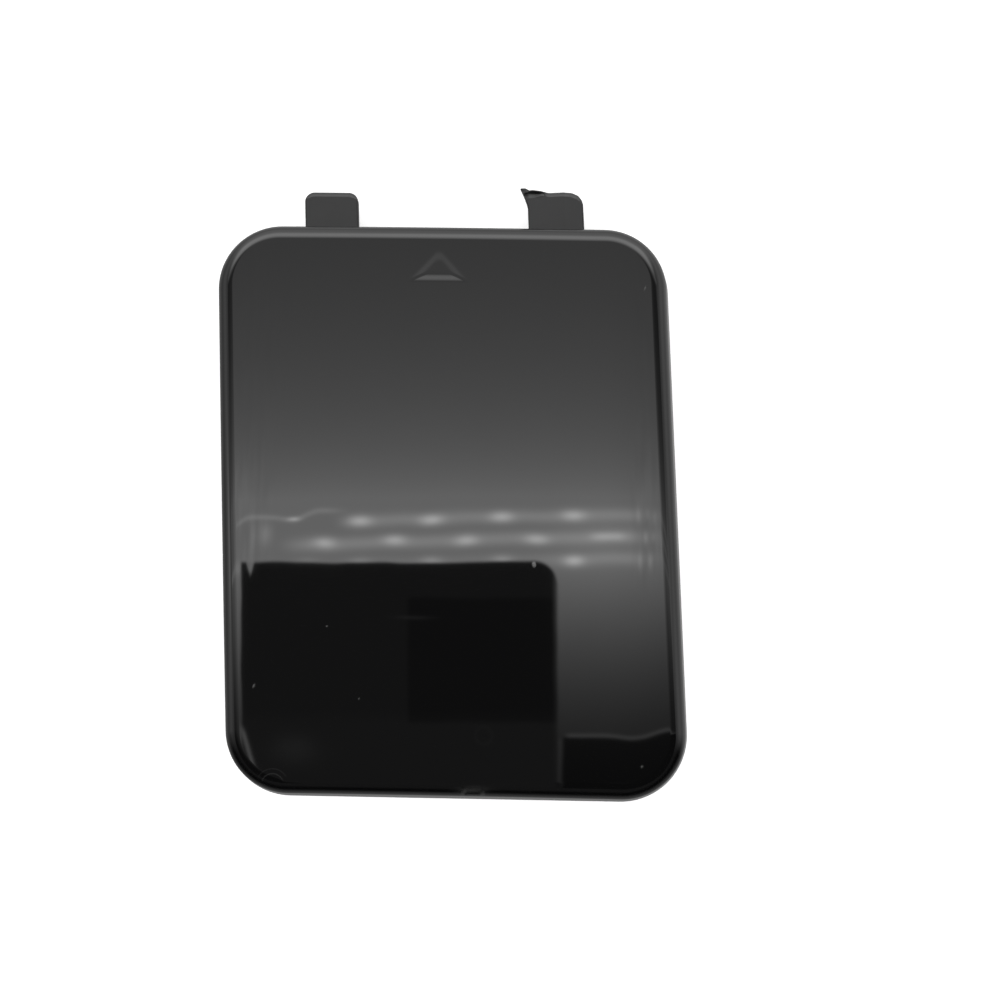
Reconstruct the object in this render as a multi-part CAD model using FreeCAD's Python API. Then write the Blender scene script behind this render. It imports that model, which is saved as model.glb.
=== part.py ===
import FreeCAD, Part
import math
import os

from FreeCAD import Vector

# Rim of the skirt, seen square on: a slightly skewed rectangle with round corners
rim_width = 77.65            # between the two straight sides
rim_length = 97.6            # along the sides, between the top and bottom edges
rim_slope = 2.86             # degrees that the top and bottom edges fall towards the right
corner_radius = 11.2         # round corners of the rim
rim_break = 0.25             # chamfer on the outer lip of the rim

# Crowned face on a drafted skirt
crown_height = 9.4           # rim plane to the middle of the face
crown_radius = 560.0         # the face is part of a large ball
skirt_draft = 7.0            # degrees that the skirt leans in towards the face
edge_radius = 2.4            # rounding between face and skirt
face_wall = 2.4              # thickness of the face
skirt_wall = 2.0             # thickness of the skirt
inner_bevel = 0.9            # bevelled corner inside, between face and skirt

# How far the clip and the locating fins reach behind the rim
standoff = 5.0

# Two tongues on the top edge
tongue_width = 9.25
tongue_spacing = 39.2        # between the middles of the two tongues
tongue_offset = 0.6          # middle of the pair, to the right of the cover's middle
tongue_reach = 6.7           # beyond the rim
tongue_thickness = 2.0
tongue_rise = 0.5            # top of the tongue above the rim plane
tongue_bite = 3.4            # length of the tongue inside the rim
tongue_corner_radius = 1.8   # round corners of the tip, seen square on
tongue_root_radius = 0.5     # hollow corners where the tongue leaves the rim
tongue_edge_radius = 0.45    # rounding of the tongue's upper edges, less than its rise
tongue_lead = 0.6            # chamfer under the tip

# Torn corner of the right tongue, with its spur bent up and out
tear_length = 3.0            # along the tip
tear_depth = 1.8             # down the side
spur_aside = 1.2             # point of the spur, past the tongue's side
spur_out = 0.8               # point of the spur, past the tip
spur_lift = 0.9              # point of the spur, above the tongue
spur_root = 0.9              # depth of the spur where it joins the tongue

# Fins that tie each tongue to the face and locate the cover in its opening
fin_thickness = 1.5
fin_spacing = 5.4            # between the two fins of a tongue
fin_length = 9.0             # inwards from the skirt's inner side
fin_foot = 3.2               # flat foot that the cover rests on
fin_lead = 2.6               # slant of the fin's outer edge, from the skirt to the foot

# Spring clip inside the bottom edge
clip_width = 14.0
clip_wall = 1.7
clip_inset = 6.2             # rim to the clip's outer side
clip_grip = 3.0              # rim plane to the catch of the barb
clip_barb = 1.4              # how far the barb stands out
clip_nose = 0.5              # height of the barb's blunt nose
clip_tip = 0.9               # thickness of the clip's tip
clip_root = 1.2              # leg of the wedges at the clip's root

# Cheek ribs beside the clip
cheek_thickness = 1.4
cheek_length = 7.0           # inwards from the skirt's inner side, at the face
cheek_foot = 3.5             # the same at the cheek's lower edge
cheek_gap = 1.8              # between the clip and each cheek
cheek_rise = 0.8             # lower edge of the cheek above the rim plane

# Stiffening ribs behind the face
rib_thickness = 1.2
rib_height = 2.2
side_rib_pitch = 21.0        # between the ribs that run along the sides
side_rib_count = 3
cross_rib_pitch = 23.0       # between the ribs that run across
cross_rib_count = 3
rib_end_gap = 5.0            # rib ends to the skirt's inner side

# Arrow mark sunk in the face, pointing at the tongues
arrow_width = 9.3
arrow_height = 5.5
arrow_inset = 10.6           # top edge of the rim to the arrow's base
arrow_offset = -0.35         # to the left of the middle
arrow_depth = 0.28
arrow_wall_run = 1.05        # how far the arrow's sloping walls reach inwards
arrow_corner_radius = 0.35
arrow_tip_radius = 0.9       # the corner that points at the tongues

# Flat witness of the trimmed gate in the rounding of the bottom edge
gate_width = 3.6
gate_depth = 0.12
gate_offset = 2.7            # to the right of the middle
gate_turn = 45.0             # degrees round the rounding, from the face

# Overlap that makes the moulding one solid, the spare length of cutting tools, and
# the slack when edges are told apart by their height
bite = 0.4
spare = 30.0
slack = 0.001

slope = math.radians(rim_slope)
draft = math.tan(math.radians(skirt_draft))
rim_z = standoff
crown_z = rim_z + crown_height
tongue_z = rim_z + tongue_rise


def edge_y(x, side):
    """Height along Y of the top (side 1) or bottom (side -1) edge line of the rim at x."""
    return side * rim_length / 2 - x * math.tan(slope)


def crown_at(x, y, depth):
    """Height of the face's surface, lowered by depth, over the point x, y."""
    return crown_z - crown_radius + math.sqrt((crown_radius - depth) ** 2 - x**2 - y**2)


def rounded_wire(points, radii):
    """Closed wire through the points, each corner rounded with a tangent arc of its radius."""
    count = len(points)
    edges = []
    ends = []
    for k, (point, radius) in enumerate(zip(points, radii)):
        if radius <= 0:
            ends.append((point, point))
            continue
        before = (points[k - 1] - point).normalize()
        after = (points[(k + 1) % count] - point).normalize()
        half = before.getAngle(after) / 2
        middle = (before + after).normalize()
        centre = point + middle * (radius / math.sin(half))
        start = point + before * (radius / math.tan(half))
        end = point + after * (radius / math.tan(half))
        edges.append(Part.Arc(start, centre - middle * radius, end).toShape())
        ends.append((start, end))
    for k in range(count):
        start = ends[k][1]
        end = ends[(k + 1) % count][0]
        edges.append(Part.LineSegment(start, end).toShape())
    return Part.Wire(Part.__sortEdges__(edges))


def outline(inset, z):
    """Wire of the rim's outline, moved inwards by inset, at height z."""
    half_x = rim_width / 2 - inset
    half_y = rim_length / 2 - inset / math.cos(slope)
    radius = corner_radius - inset
    corners = []
    for sx, sy in ((1, 1), (-1, 1), (-1, -1), (1, -1)):
        x = sx * half_x
        corners.append(Vector(x, sy * half_y - x * math.tan(slope), z))
    return rounded_wire(corners, [radius] * 4)


def drafted_block(inset, z0, z1):
    """Solid inside the rim's outline moved inwards by inset, leaning in with height."""
    low = outline(inset + (z0 - rim_z) * draft, z0)
    high = outline(inset + (z1 - rim_z) * draft, z1)
    return Part.makeLoft([low, high], True, True)


def under_crown(depth):
    """Solid below the face's surface lowered by depth, wider than the cover."""
    half = rim_width / 2 + spare
    floor = rim_z - spare
    left = Vector(-half, 0, crown_at(-half, 0, depth))
    right = Vector(half, 0, crown_at(half, 0, depth))
    arc = Part.Arc(left, Vector(0, 0, crown_z - depth), right).toShape()
    rest = Part.makePolygon([right, Vector(half, 0, floor), Vector(-half, 0, floor), left])
    section = Part.Face(Part.Wire([arc] + rest.Edges))
    turn = math.degrees(math.asin((rim_length / 2 + spare) / crown_radius))
    hub = Vector(0, 0, crown_z - crown_radius)
    section.rotate(hub, Vector(1, 0, 0), -turn)
    return section.revolve(hub, Vector(1, 0, 0), 2 * turn)


def crown_edges(solid):
    """Edges around the crowned face of the solid."""
    crown = max((f for f in solid.Faces if f.BoundBox.ZMin > rim_z), key=lambda f: f.Area)
    return crown.Edges


def rim_edges(solid):
    """Edges of the solid that lie in the rim plane."""
    return [e for e in solid.Edges if max(abs(e.BoundBox.ZMin - rim_z), abs(e.BoundBox.ZMax - rim_z)) < slack]


def make_shell():
    """Crowned face with its drafted skirt, open at the back."""
    outer = drafted_block(0.0, rim_z, crown_z + bite).common(under_crown(0.0))
    outer = outer.makeFillet(edge_radius, crown_edges(outer))
    outer = outer.makeChamfer(rim_break, rim_edges(outer))
    inner = drafted_block(skirt_wall, rim_z - bite, crown_z).common(under_crown(face_wall))
    inner = inner.makeChamfer(inner_bevel, crown_edges(inner))
    return outer.cut(inner)


def prism(points, radii, direction):
    """Solid swept along the direction from a closed profile with rounded corners."""
    return Part.Face(rounded_wire(points, radii)).extrude(direction)


def upright_rib(profile, thickness, x):
    """Rib of the given thickness about x, from its profile of (y, z) points."""
    points = [Vector(x - thickness / 2, y, z) for y, z in profile]
    return prism(points, [0] * len(points), Vector(thickness, 0, 0))


def inside(shape):
    """Trims what hangs from the face to the space inside the cover, a bite into its walls."""
    block = drafted_block(skirt_wall - bite, rim_z - spare, crown_z)
    return shape.common(block.common(under_crown(face_wall - bite)))


def tongue_place(x_mid, x, y, z):
    """Point of a tongue: x from its middle, y out of the rim line, which it follows."""
    return Vector(x_mid + x, edge_y(x_mid + x, 1) + y, z)


def make_tongue(x_mid):
    """Flat tongue with round tip corners, hollow root corners and softened upper edges."""
    half = tongue_width / 2
    flare = half + tongue_root_radius + bite
    plan = (
        (flare, -tongue_bite, 0), (flare, -rim_break, 0), (half, -rim_break, tongue_root_radius),
        (half, tongue_reach, tongue_corner_radius), (-half, tongue_reach, tongue_corner_radius),
        (-half, -rim_break, tongue_root_radius), (-flare, -rim_break, 0), (-flare, -tongue_bite, 0),
    )
    points = [tongue_place(x_mid, x, y, tongue_z - tongue_thickness) for x, y, _ in plan]
    plate = prism(points, [r for _, _, r in plan], Vector(0, 0, tongue_thickness))
    tip_start = tongue_reach - tongue_corner_radius
    outer = [e for e in plate.Edges if e.CenterOfMass.y > edge_y(e.CenterOfMass.x, 1) + rim_break]
    upper = [e for e in outer if e.BoundBox.ZMin > tongue_z - slack]
    lower = [e for e in outer if e.BoundBox.ZMax < tongue_z - tongue_thickness + slack]
    lower = [e for e in lower if e.CenterOfMass.y > edge_y(e.CenterOfMass.x, 1) + tip_start]
    plate = plate.makeFillet(tongue_edge_radius, upper)
    return plate.makeChamfer(tongue_lead, lower)


def tear(tongue, x_mid):
    """Breaks the left tip corner off a tongue and leaves a sharp spur bent up and out of the break."""
    left = -tongue_width / 2
    side = (left, tongue_reach - tear_depth)
    tip = (left + tear_length, tongue_reach)
    far = tongue_reach + spare
    beyond = ((left - spare, side[1]), side, tip, (tip[0], far), (left - spare, far))
    below = tongue_z - tongue_thickness - bite
    corners = [tongue_place(x_mid, x, y, below) for x, y in beyond]
    cutter = prism(corners, [0] * len(corners), Vector(0, 0, tongue_thickness + 2 * bite))
    inward = bite / 2
    side_in = (side[0] + inward, side[1] - inward)
    tip_in = (tip[0] + inward, tip[1] - inward)
    top = tongue_z - tongue_edge_radius / 2
    base = [
        tongue_place(x_mid, *side_in, top), tongue_place(x_mid, *tip_in, top),
        tongue_place(x_mid, *tip_in, top - spur_root), tongue_place(x_mid, *side_in, top - spur_root),
    ]
    point = tongue_place(x_mid, left - spur_aside, tongue_reach + spur_out, tongue_z + spur_lift)
    spur = pyramid(base, point)
    return tongue.cut(cutter).fuse(spur)


def pyramid(base, point):
    """Solid between a four-sided base and a point."""
    faces = [Part.Face(Part.makePolygon(base + [base[0]]))]
    for k in range(4):
        start = base[k]
        end = base[(k + 1) % 4]
        faces.append(Part.Face(Part.makePolygon([start, end, point, start])))
    return Part.Solid(Part.Shell(faces))


def make_fins(x_mid):
    """Pair of fins that hang from face and skirt behind a tongue, down to their flat feet."""
    return [make_fin(x_mid + side * fin_spacing / 2) for side in (-1, 1)]


def make_fin(x):
    """One fin with a slanted lead on its outer edge."""
    y0 = edge_y(x, 1) - skirt_wall + bite
    foot_start = y0 - fin_lead
    profile = (
        (y0, crown_z), (y0, tongue_z - tongue_thickness / 2), (foot_start, 0.0),
        (foot_start - fin_foot, 0.0), (y0 - fin_length, rim_z), (y0 - fin_length, crown_z),
    )
    return inside(upright_rib(profile, fin_thickness, x))


def to_bottom_edge(shape, x):
    """Moves a shape drawn with its Y pointing out of the cover to the bottom edge at x."""
    shape.rotate(Vector(0, 0, 0), Vector(0, 0, 1), 180.0 - rim_slope)
    shape.translate(Vector(x, edge_y(x, -1), 0))
    return shape


def make_clip():
    """Springy wall with a barb that snaps behind the edge of the opening."""
    outer = -clip_inset
    inner = outer - clip_wall
    catch = rim_z - clip_grip
    face = crown_at(0, edge_y(0, -1) + clip_inset, face_wall)
    profile = (
        (inner - clip_root, face + spare), (inner - clip_root, face), (inner, face - clip_root),
        (inner, 0.0), (inner + clip_tip, 0.0), (outer + clip_barb, catch - clip_nose),
        (outer + clip_barb, catch), (outer, catch), (outer, face - clip_root),
        (outer + clip_root, face), (outer + clip_root, face + spare),
    )
    return inside(to_bottom_edge(upright_rib(profile, clip_width, 0.0), 0.0))


def make_cheeks():
    """Two short ribs that guard the clip from the sides."""
    y0 = -skirt_wall + bite
    low = rim_z + cheek_rise
    profile = ((y0, crown_z), (y0, low), (y0 - cheek_foot, low), (y0 - cheek_length, crown_z))
    middle = (clip_width + cheek_thickness) / 2 + cheek_gap
    pair = [upright_rib(profile, cheek_thickness, side * middle) for side in (-1, 1)]
    return [inside(to_bottom_edge(cheek, 0.0)) for cheek in pair]


def make_ribs():
    """Lattice of ribs that follow the crown behind the face."""
    room = drafted_block(skirt_wall + rib_end_gap, rim_z - bite, crown_z)
    layer = room.common(under_crown(face_wall - bite)).cut(under_crown(face_wall + rib_height))
    ribs = []
    for k in range(side_rib_count):
        x = (k - (side_rib_count - 1) / 2) * side_rib_pitch
        corner = Vector(x - rib_thickness / 2, -rim_length / 2, 0)
        bar = Part.makeBox(rib_thickness, rim_length, crown_z, corner)
        ribs.append(layer.common(bar))
    for k in range(cross_rib_count):
        y = (k - (cross_rib_count - 1) / 2) * cross_rib_pitch
        corner = Vector(-rim_width / 2, -rib_thickness / 2, 0)
        bar = Part.makeBox(rim_width, rib_thickness, crown_z, corner)
        bar.rotate(Vector(0, 0, 0), Vector(0, 0, 1), -rim_slope)
        bar.translate(Vector(0, y, 0))
        ribs.append(layer.common(bar))
    return ribs


def arrow_cutter():
    """Tool that sinks the arrow: a triangle whose walls slope in to a flat floor along the face."""
    base_y = edge_y(arrow_offset, 1) - arrow_inset
    middle = Vector(arrow_offset, base_y + arrow_height / 2, 0)
    middle.z = crown_at(middle.x, middle.y, 0)
    wires = []
    for z in (-arrow_depth, arrow_depth):
        corners = arrow_corners(-z * arrow_wall_run / arrow_depth, z)
        wires.append(rounded_wire(corners, [arrow_corner_radius, arrow_corner_radius, arrow_tip_radius]))
    tool = Part.makeLoft(wires, True, True)
    lean = math.degrees(math.asin(middle.y / crown_radius))
    tool.rotate(Vector(0, 0, 0), Vector(0, 0, 1), -rim_slope)
    tool.rotate(Vector(0, 0, 0), Vector(1, 0, 0), -lean)
    tool.translate(middle)
    return tool


def arrow_corners(shrink, z):
    """Corners of the arrow's triangle, its sides moved inwards by shrink."""
    half = arrow_width / 2
    side = math.hypot(half, arrow_height)
    base = -arrow_height / 2 + shrink
    apex = arrow_height / 2 - shrink * side / half
    foot = (apex - base) * half / arrow_height
    return [Vector(-foot, base, z), Vector(foot, base, z), Vector(0, apex, z)]


def gate_cutter():
    """Tool that trims the gate: a small block laid across the rounding at half its turn."""
    corner = Vector(-gate_width / 2, -spare / 2, edge_radius - gate_depth)
    box = Part.makeBox(gate_width, spare, spare, corner)
    box.rotate(Vector(0, 0, 0), Vector(1, 0, 0), -gate_turn)
    x = gate_offset
    inward = edge_radius + (crown_at(x, edge_y(x, -1), 0) - rim_z) * draft
    middle_z = crown_at(x, edge_y(x, -1) + inward, 0) - edge_radius
    box.translate(Vector(0, -edge_radius - (middle_z - rim_z) * draft, middle_z))
    return to_bottom_edge(box, x)


def make_cover():
    """The whole moulding in one solid."""
    lefts = tongue_offset - tongue_spacing / 2
    rights = tongue_offset + tongue_spacing / 2
    pieces = [make_tongue(lefts), tear(make_tongue(rights), rights)]
    pieces += make_fins(lefts) + make_fins(rights) + [make_clip()]
    pieces += make_cheeks() + make_ribs()
    cover = make_shell().fuse(pieces)
    cover = cover.cut([arrow_cutter(), gate_cutter()])
    return cover.removeSplitter()


cover = make_cover()
box = cover.BoundBox
cover.translate(Vector(-(box.XMin + box.XMax) / 2, -(box.YMin + box.YMax) / 2, -box.ZMin))
os.makedirs("parts", exist_ok=True)
cover.exportStep("parts/tow_hook_cover.step")
print("solids", len(cover.Solids), "valid", cover.isValid(), "volume", round(cover.Volume, 1), cover.BoundBox)
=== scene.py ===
import math

import bmesh
import bpy
import numpy as np
from mathutils import Matrix, Vector
from mathutils.geometry import delaunay_2d_cdt
from mathutils.kdtree import KDTree


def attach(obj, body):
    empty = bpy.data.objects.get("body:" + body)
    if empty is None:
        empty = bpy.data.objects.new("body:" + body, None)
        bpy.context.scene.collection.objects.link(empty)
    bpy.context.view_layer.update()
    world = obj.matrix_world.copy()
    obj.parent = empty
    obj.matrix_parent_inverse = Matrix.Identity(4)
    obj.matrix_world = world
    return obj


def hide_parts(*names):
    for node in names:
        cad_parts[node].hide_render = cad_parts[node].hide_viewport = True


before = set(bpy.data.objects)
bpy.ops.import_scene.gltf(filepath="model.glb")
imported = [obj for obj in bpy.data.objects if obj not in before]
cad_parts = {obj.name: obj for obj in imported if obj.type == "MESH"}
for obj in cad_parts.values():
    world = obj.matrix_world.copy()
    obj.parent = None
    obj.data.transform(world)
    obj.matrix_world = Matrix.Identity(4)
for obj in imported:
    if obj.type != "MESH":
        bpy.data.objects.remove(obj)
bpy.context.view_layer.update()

# Sizes in millimetres, as in the CAD: x to the right, y to the tongues, z out of the face
RIM_WIDTH = 77.65
RIM_LENGTH = 97.6
SLOPE = math.radians(2.86)
CORNER = 11.2
RIM_Z = 5.0
CROWN_Z = 14.4
CROWN_R = 560.0
DRAFT = math.radians(7.0)
EDGE_R = 3.0
FACE_WALL = 2.4
SKIRT_WALL = 2.0
INNER_R = 1.0
LIP_R = 0.25
INNER_LIP_R = 0.15

TONGUE_WIDTH = 9.25
TONGUE_LEFT = -19.0
TONGUE_RIGHT = 20.2
TONGUE_REACH = 6.7
TONGUE_TOP = 5.5
TONGUE_LOW = 3.5
TONGUE_BITE = 3.0
TONGUE_FLARE = 0.95
TONGUE_EDGE = 0.3

ARROW_X = -0.25
ARROW_WIDTH = 9.8
ARROW_HEIGHT = 5.5
ARROW_INSET = 10.6
ARROW_DEPTH = 0.135
ARROW_RUN = 1.05
ARROW_SOFT = 0.13
ARROW_SIDES = 0.88
ARROW_CORNER = 0.35
ARROW_TIP = 1.0

GATE_X = 2.7
GATE_HALF = 1.8
GATE_DEPTH = 0.12

FIN_OFFSET = 2.7
FIN_THICKNESS = 1.5
CLIP_WIDTH = 14.0
CHEEK_THICKNESS = 1.4
RIB_HALF = 0.6
RIB_CORNER = 0.35
RIB_ROOT = 0.4
RIB_TIP = 0.28
RIB_GAP = 7.9
RIB_PITCH = (21.0, 23.0)
RIB_HEIGHT = (2.2, 2.0)

# From the middle of the rim's outline to the middle of the CAD box, which is the origin
SHIFT_Y = 3.2992

GLOSS, SATIN, TORN = 0, 1, 2
HUB = np.array([0.0, 0.0, CROWN_Z - CROWN_R])
MM = 0.001

# Joins: shortest edge and distance between equal points in millimetres, and the sharp edges' angle
SHORT_EDGE = 0.004
SAME_POINT = 0.002
SHARP = 32

# The camera: focal length and frame in pixels, turns about z, y and x in degrees, place in millimetres
FOCAL, FRAME = 1949.0, 990.0
CAMERA_TURNS = (-1.827, 1.402, 6.842)
CAMERA_PLACE = (14.668, -37.592, 335.738)


def smooth(t):
    """Smooth step of t from 0 to 1."""
    t = np.clip(t, 0.0, 1.0)
    return t * t * (3 - 2 * t)


def edge_y(x, side):
    """Y of the rim's top (side 1) or bottom (side -1) edge line at x."""
    return side * RIM_LENGTH / 2 - x * math.tan(SLOPE)


def crown_at(x, y, depth=0.0):
    """Height of the face, lowered by depth, at x, y."""
    return CROWN_Z - CROWN_R + np.sqrt((CROWN_R - depth) ** 2 - x**2 - y**2)


def on_crown(xy, depth=0.0, sink=0.0):
    """Points of a plan on the face, which is lowered by depth, and sunk further straight down."""
    return np.column_stack([xy, crown_at(xy[:, 0], xy[:, 1], depth) - sink])


def unit(rows):
    """The vectors at length 1."""
    return rows / np.linalg.norm(rows, axis=1)[:, None]


def direction(start, end):
    """Unit vector from start to end."""
    d = end - start
    return d / np.linalg.norm(d)


def corner(before, tip, after, radius):
    """Rounding of the corner at tip: its centre, its two ends and half the corner's angle."""
    a, b = direction(tip, before), direction(tip, after)
    half = math.acos(np.clip(np.dot(a, b), -1, 1)) / 2
    centre = tip + (a + b) / np.linalg.norm(a + b) * radius / math.sin(half)
    return centre, tip + a * radius / math.tan(half), tip + b * radius / math.tan(half), half


def angle(centre, point):
    return math.atan2(*(point - centre)[::-1])


def hollow_arc(r):
    """Profile of a hollow corner of radius r, as steps away from its two faces."""
    return [(r - r * math.sin(t), r - r * math.cos(t)) for t in np.linspace(0, math.pi / 2, 5)]


def link(name, data):
    """New object with the data, in the scene."""
    obj = bpy.data.objects.new(name, data)
    bpy.context.scene.collection.objects.link(obj)
    return obj


# Meshes, gathered in millimetres

class Build:
    """Vertices, faces, their slots and the normals that are known, in millimetres."""

    def __init__(self):
        self.verts = []
        self.normals = []
        self.faces = []
        self.slots = []

    def points(self, places, normals=None):
        start = len(self.verts)
        self.verts += [tuple(p) for p in places]
        self.normals += [tuple(n) for n in normals] if normals is not None else [None] * len(places)
        return list(range(start, len(self.verts)))

    def band(self, inner, outer, slot):
        """Quads between two closed rings that run anticlockwise seen from outside."""
        n = len(inner)
        for k in range(n):
            j = (k + 1) % n
            self.faces.append((inner[k], outer[k], outer[j], inner[j]))
            self.slots.append(slot)

    def face(self, loop, slot):
        self.faces.append(tuple(loop))
        self.slots.append(slot)

    def patch(self, ids, loops, slot):
        """Faces whose loops are places in a list of vertices."""
        for loop in loops:
            self.face([ids[v] for v in loop], slot)

    def tube(self, rings, slot):
        """Bands through rings of points, from the top down; returns the vertices of each ring."""
        ids = [self.points(ring) for ring in rings]
        for upper, lower in zip(ids, ids[1:]):
            self.band(upper, lower, slot)
        return ids

    def make(self, name):
        mesh = bpy.data.meshes.new(name)
        mesh.from_pydata(self.verts, [], self.faces)
        for material in MATERIALS:
            mesh.materials.append(material)
        mesh.polygons.foreach_set("material_index", self.slots)
        mesh.update()
        return link(name, mesh)


def rounded(points, radii, steps=5, spacing=3.0):
    """Closed 2D outline, anticlockwise, with its outward normals; corners rounded, sides divided."""
    pts = [np.array(p, float) for p in points]
    n = len(pts)
    out, nor, ends = [], [], []
    for k in range(n):
        p, r = pts[k], radii[k]
        a, b = direction(p, pts[k - 1]), direction(p, pts[(k + 1) % n])
        side = 1 if a[0] * b[1] - a[1] * b[0] < 0 else -1
        if r <= 0:
            away = -(a + b)
            length = np.linalg.norm(away)
            m = np.array([-a[1], a[0]]) if length < 1e-6 else away / length * side
            ends.append((p, p, [p], [m]))
            continue
        c, s, e, _ = corner(pts[k - 1], p, pts[(k + 1) % n], r)
        first = angle(c, s)
        sweep = (angle(c, e) - first + math.pi) % (2 * math.pi) - math.pi
        turns = [first + sweep * j / steps for j in range(steps + 1)]
        rays = [np.array([math.cos(t), math.sin(t)]) for t in turns]
        ends.append((s, e, [c + r * d for d in rays], [d * side for d in rays]))
    for k in range(n):
        _, e, arc, arc_normals = ends[k]
        out += arc
        nor += arc_normals
        run = ends[(k + 1) % n][0] - e
        length = np.linalg.norm(run)
        cuts = max(1, int(round(length / spacing)))
        d = run / max(length, 1e-9)
        for j in range(1, cuts):
            out.append(e + run * j / cuts)
            nor.append(np.array([d[1], -d[0]]))
    return np.array(out), np.array(nor)


# The rim's outline and the profile of the shell

class Rim:
    """The rim's outline, run anticlockwise: a corner's arc, then the straight side after it."""

    def __init__(self):
        half = RIM_WIDTH / 2
        signs = ((1, -1), (1, 1), (-1, 1), (-1, -1))
        tips = [np.array([side * half, edge_y(side * half, end)]) for side, end in signs]
        self.parts = []
        u = 0.0
        rounds = [corner(tips[k - 1], tips[k], tips[(k + 1) % 4], CORNER) for k in range(4)]
        for k, (centre, start, end, h) in enumerate(rounds):
            length = CORNER * (math.pi - 2 * h)
            self.parts.append(("arc", u, length, centre, angle(centre, start)))
            u += length
            length = np.linalg.norm(rounds[(k + 1) % 4][1] - end)
            self.parts.append(("line", u, length, end, direction(tips[k], tips[(k + 1) % 4])))
            u += length
        self.length = u

    def at(self, u):
        """Points of the outline and their inward normals, at distances u along it."""
        u = np.mod(np.asarray(u, float), self.length)
        base = np.zeros((len(u), 2))
        inward = np.zeros((len(u), 2))
        for kind, start, length, p, d in self.parts:
            m = (u >= start - 1e-9) & (u <= start + length + 1e-9)
            w = u[m] - start
            if kind == "arc":
                t = d + w / CORNER
                ray = np.stack([np.cos(t), np.sin(t)], 1)
                base[m] = p + CORNER * ray
                inward[m] = -ray
            else:
                base[m] = p + w[:, None] * d
                inward[m] = np.array([-d[1], d[0]])
        return base, inward

    def samples(self):
        """Distances of the sample points: even round the corners, finer where the gate was."""
        out = []
        for k, (kind, start, length, p, d) in enumerate(self.parts):
            count = 24 if kind == "arc" else int(length / 2.4)
            marks = [length * j / count for j in range(count)]
            if k == 7:
                middle = (GATE_X - p[0]) / d[0]
                marks = [m for m in marks if abs(m - middle) > GATE_HALF + 0.4]
                edges = [-0.16, -0.08, -0.03, 0.03, 0.08, 0.2]
                marks += [middle - GATE_HALF + e for e in edges]
                marks += [middle + GATE_HALF - e for e in edges]
                marks += [middle + GATE_HALF * j / 9 for j in range(-7, 8)]
                self.gate_u = start + middle
            out += [start + m for m in sorted(marks)]
        return np.array(out)


rim = Rim()


def section(base, inward, inset, depth, radius):
    """The rounding between wall and face, in the upright plane of each outline point."""
    ball = CROWN_R - depth
    i0 = -(base * inward).sum(1)
    off = (base**2).sum(1) - i0**2
    arc = np.sqrt(ball**2 - off)
    t = math.tan(DRAFT)
    a = inset + radius / math.cos(DRAFT) - i0
    b = RIM_Z - HUB[2]
    c = arc - radius
    half_b = a * t + b
    w = (-half_b + np.sqrt(half_b**2 - (t * t + 1) * (a * a + b * b - c * c))) / (t * t + 1)
    zc = RIM_Z + w
    ic = inset + (radius + w * math.sin(DRAFT)) / math.cos(DRAFT)
    crown_phi = np.arctan2(zc - HUB[2], ic - i0)
    return ic, zc, crown_phi, i0, arc


def gate_trim(u, i, z, ic, zc):
    """Trims the rounding where the gate was cut off: nearly flat, with faint ridges of the knife."""
    along = u - rim.gate_u
    mask = smooth((GATE_HALF + 0.06 - np.abs(along)) / 0.12)
    c = math.cos(math.radians(45))
    level = EDGE_R - GATE_DEPTH + 0.02 * np.sin(along * 7.0) + 0.03 * along / GATE_HALF
    over = np.maximum(0.0, (ic - i) * c + (z - zc) * c - level) * mask
    return i + over * c, z - over * c


def shell_point(u, kind, t):
    """Points of the shell's skin at distances u, on the named stretch of its profile at t."""
    u = np.asarray(u, float)
    base, inward = rim.at(u)
    outer = kind in ("face", "round", "wall", "lip")
    inset = 0.0 if outer else SKIRT_WALL
    depth = 0.0 if outer else FACE_WALL
    radius = EDGE_R if outer else INNER_R
    ic, zc, crown_phi, i0, arc = section(base, inward, inset, depth, radius)
    wall_phi = math.pi - DRAFT
    cd, sd = math.cos(DRAFT), math.sin(DRAFT)
    iw, zw = ic - radius * cd, zc + radius * sd
    if kind in ("face", "inface"):
        i = ic + radius * np.cos(crown_phi) + t
        z = crown_at(*(base + inward * i[:, None]).T, depth)
    elif kind in ("round", "inround"):
        s = t if outer else 1 - t
        phi = crown_phi + (wall_phi - crown_phi) * s
        i, z = ic + radius * np.cos(phi), zc + radius * np.sin(phi)
        if outer:
            i, z = gate_trim(u, i, z, ic, zc)
    elif kind in ("lip", "inlip"):
        r, sign = (LIP_R, 1) if outer else (INNER_LIP_R, -1)
        i = inset + (sign * r + r * sd) / cd
        phi = (wall_phi if outer else -math.pi / 2) + t * (math.pi / 2 + sign * DRAFT)
        i, z = i + r * math.cos(phi) + 0 * u, RIM_Z + r + r * math.sin(phi) + 0 * u
    elif kind == "wall":
        low = RIM_Z + LIP_R + LIP_R * sd
        z = zw + (low - zw) * t
        i = (z - RIM_Z) * math.tan(DRAFT)
        i, z = gate_trim(u, i, z, ic, zc)
    else:
        low = RIM_Z + INNER_LIP_R - INNER_LIP_R * sd
        z = low + (zw - low) * t
        i = SKIRT_WALL + (z - RIM_Z) * math.tan(DRAFT)
    xy = base + inward * i[:, None]
    return np.column_stack([xy, z])


def shell_normal(u, kind, t, points):
    """Outward normals of the skin, from the ball for the faces and from small steps elsewhere."""
    if kind in ("face", "inface"):
        return unit(points - HUB) * (1 if kind == "face" else -1)
    step = 0.004
    du = shell_point(u + step, kind, t) - shell_point(u - step, kind, t)
    dt = shell_point(u, kind, t + step) - shell_point(u, kind, t - step)
    return unit(np.cross(dt, du))


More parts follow.
